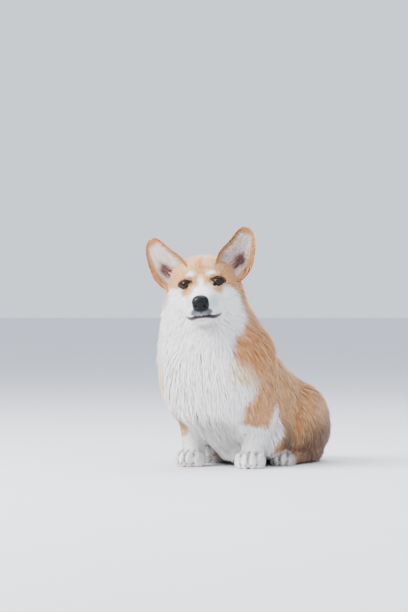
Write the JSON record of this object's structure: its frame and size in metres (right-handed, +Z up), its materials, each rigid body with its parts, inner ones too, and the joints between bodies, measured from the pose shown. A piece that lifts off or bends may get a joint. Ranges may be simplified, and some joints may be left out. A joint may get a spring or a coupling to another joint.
{
  "type": "pembroke welsh corgi",
  "caption": "A red and white corgi sitting upright on its haunches, with upright rounded ears, a foxy face turned to its left and a full white ruff and bib",
  "frame": {"origin": "middle of the dog's box at floor level, between the four feet", "axes": "+Z up, -Y is the way the chest faces, +X is the dog's left"},
  "size_m": [0.2327, 0.5083, 0.4568],
  "materials": {
    "tan_coat": "long soft coat, satin",
    "white_coat": "long soft coat, satin",
    "ear_coat": "short velvety coat",
    "nose_skin": "moist, fine pebbled",
    "eye": "wet and clear, dark brown",
    "claw": "smooth horn"
  },
  "bodies": {
    "root": {"head": "white_coat", "neck": "white_coat", "chest": "white_coat", "nose": "nose_skin", "ear_left": "ear_coat", "eye_left": "eye", "foreleg_left": "white_coat", "forepaw_left": "white_coat", "thigh_left": "tan_coat", "hind_foot_left": "white_coat", "claw_fore_left_1": "claw", "claw_fore_left_2": "claw", "claw_fore_left_3": "claw", "claw_fore_left_4": "claw", "claw_hind_left_1": "claw", "claw_hind_left_2": "claw", "claw_hind_left_3": "claw", "claw_hind_left_4": "claw", "ear_right": "ear_coat", "eye_right": "eye", "foreleg_right": "white_coat", "forepaw_right": "white_coat", "thigh_right": "tan_coat", "hind_foot_right": "white_coat", "claw_fore_right_1": "claw", "claw_fore_right_2": "claw", "claw_fore_right_3": "claw", "claw_fore_right_4": "claw", "claw_hind_right_1": "claw", "claw_hind_right_2": "claw", "claw_hind_right_3": "claw", "claw_hind_right_4": "claw", "torso": "tan_coat", "rump": "tan_coat", "tail": "tan_coat"}
  },
  "joints": []
}
